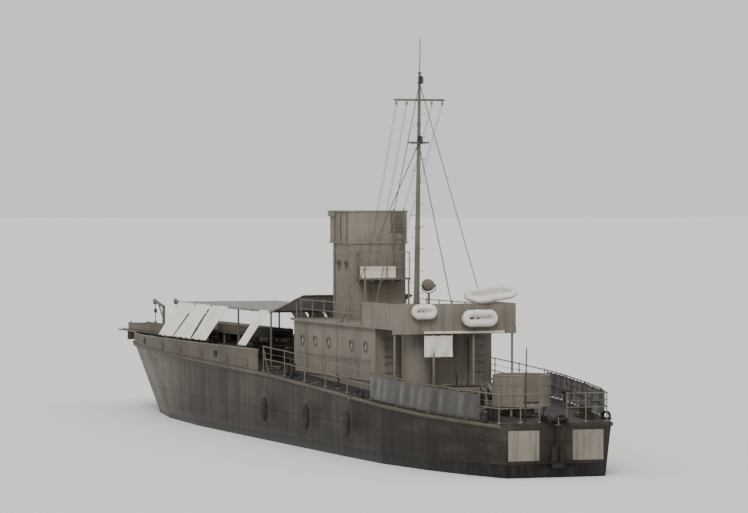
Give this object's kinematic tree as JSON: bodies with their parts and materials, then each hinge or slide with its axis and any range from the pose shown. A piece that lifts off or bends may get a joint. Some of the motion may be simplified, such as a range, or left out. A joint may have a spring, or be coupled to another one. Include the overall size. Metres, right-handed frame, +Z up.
{
  "type": "large infantry landing craft, 1:2 scale model",
  "caption": "Long narrow infantry landing craft with decked hull, deckhouse, square conning tower, mast, bow ramps, twin screws and rudders, held at its waterline.",
  "frame": {"origin": "amidships on the centreline at the light waterline", "axes": "+X towards the bow, +Y to port, +Z up"},
  "size_m": [24.28, 3.96, 8.4603],
  "materials": {
    "hull_paint": "weathered matt grey paint with rust streaks",
    "house_paint": "weathered matt light grey paint",
    "deck_paint": "rough dark grey deck paint",
    "dark_paint": "worn black paint",
    "pipe_paint": "weathered grey paint",
    "bronze": "dull bronze",
    "steel": "worn steel with rope wear",
    "white_canvas": "bleached canvas",
    "rope": "tarred rope"
  },
  "bodies": {
    "craft": {"hull": "hull_paint", "rub_rail_port": "hull_paint", "rub_rail_starboard": "hull_paint", "bow_bulwark": "hull_paint", "shaft_bracket_port": "hull_paint", "shaft_bracket_starboard": "hull_paint", "ramp_platform_port": "hull_paint", "ramp_platform_starboard": "hull_paint", "cathead_port": "hull_paint", "cathead_starboard": "hull_paint", "deckhouse_walls": "house_paint", "roof_shield": "house_paint", "tower_walls": "house_paint", "conning_bridge": "house_paint", "vent_trunk": "house_paint", "stern_tub": "house_paint", "bow_tub": "house_paint", "mast": "house_paint", "deckhouse_roof": "deck_paint", "propeller_guard_port": "dark_paint", "propeller_guard_starboard": "dark_paint", "winch_frame": "dark_paint", "stern_anchor": "dark_paint", "guard_rail_port": "pipe_paint", "guard_rail_starboard": "pipe_paint", "awning_frame": "pipe_paint", "signal_platform": "pipe_paint", "searchlight": "pipe_paint", "stern_fairlead": "pipe_paint", "roof_rail_port": "pipe_paint", "roof_rail_starboard": "pipe_paint", "weather_cloth_port": "white_canvas", "weather_cloth_starboard": "white_canvas", "awning": "white_canvas", "flag_locker": "white_canvas", "life_float_port": "white_canvas", "life_float_centre": "white_canvas", "life_float_upper": "white_canvas", "life_float_starboard": "white_canvas", "fender_port_aft": "rope", "fender_port_mid": "rope", "fender_port_fore": "rope", "fender_starboard_aft": "rope", "fender_starboard_fore": "rope"},
    "propeller_port": {"propeller_port": "bronze"},
    "propeller_starboard": {"propeller_starboard": "bronze"},
    "rudder_port": {"rudder_port": "hull_paint"},
    "rudder_starboard": {"rudder_starboard": "hull_paint"},
    "ramp_port": {"ramp_port": "deck_paint"},
    "ramp_starboard": {"ramp_starboard": "deck_paint"},
    "deckhouse_door_port": {"deckhouse_door_port": "house_paint"},
    "deckhouse_door_starboard": {"deckhouse_door_starboard": "house_paint"},
    "tower_door": {"tower_door": "house_paint"},
    "hatch_lid_aft": {"hatch_lid_aft": "house_paint"},
    "hatch_lid_mid": {"hatch_lid_mid": "house_paint"},
    "hatch_lid_fore": {"hatch_lid_fore": "house_paint"},
    "winch_drum": {"winch_drum": "steel"}
  },
  "joints": [
    {"name": "propeller_port_turn", "type": "hinge", "parent": "craft", "child": "propeller_port", "pos_m": [-10.525, 0.725, -0.46], "axis": [1, 0, 0], "continuous": true},
    {"name": "propeller_starboard_turn", "type": "hinge", "parent": "craft", "child": "propeller_starboard", "pos_m": [-10.525, -0.725, -0.46], "axis": [1, 0, 0], "continuous": true},
    {"name": "rudder_port_turn", "type": "hinge", "parent": "craft", "child": "rudder_port", "pos_m": [-11.275, 0.725, -0.25], "axis": [0, 0, 1], "range_deg": [-35, 35]},
    {"name": "rudder_starboard_turn", "type": "hinge", "parent": "craft", "child": "rudder_starboard", "pos_m": [-11.275, -0.725, -0.25], "axis": [0, 0, 1], "range_deg": [-35, 35]},
    {"name": "ramp_port_run_out", "type": "slide", "parent": "craft", "child": "ramp_port", "axis": [1, 0, 0], "range_m": [0, 3.8]},
    {"name": "ramp_starboard_run_out", "type": "slide", "parent": "craft", "child": "ramp_starboard", "axis": [1, 0, 0], "range_m": [0, 3.8]},
    {"name": "deckhouse_door_port_swing", "type": "hinge", "parent": "craft", "child": "deckhouse_door_port", "pos_m": [-6.09, 1.05, 1.6], "axis": [0, 0, -1], "range_deg": [0, 105]},
    {"name": "deckhouse_door_starboard_swing", "type": "hinge", "parent": "craft", "child": "deckhouse_door_starboard", "pos_m": [-6.09, -1.05, 1.6], "axis": [0, 0, 1], "range_deg": [0, 105]},
    {"name": "tower_door_swing", "type": "hinge", "parent": "craft", "child": "tower_door", "pos_m": [-3.04, -0.175, 2.8], "axis": [0, 0, 1], "range_deg": [0, 100]},
    {"name": "hatch_lid_aft_open", "type": "hinge", "parent": "craft", "child": "hatch_lid_aft", "pos_m": [-7.68, 0.225, 1.35525], "axis": [0, 1, 0], "range_deg": [0, 100]},
    {"name": "hatch_lid_mid_open", "type": "hinge", "parent": "craft", "child": "hatch_lid_mid", "pos_m": [1.52, 0, 1.64267], "axis": [0, 1, 0], "range_deg": [0, 100]},
    {"name": "hatch_lid_fore_open", "type": "hinge", "parent": "craft", "child": "hatch_lid_fore", "pos_m": [4.32, 0, 1.68567], "axis": [0, 1, 0], "range_deg": [0, 100]},
    {"name": "winch_drum_turn", "type": "hinge", "parent": "craft", "child": "winch_drum", "pos_m": [-9.375, 0, 1.31], "axis": [0, 1, 0], "continuous": true}
  ],
  "couplings": [
    {"joint": "rudder_starboard_turn", "follows": "rudder_port_turn", "ratio": 1}
  ]
}
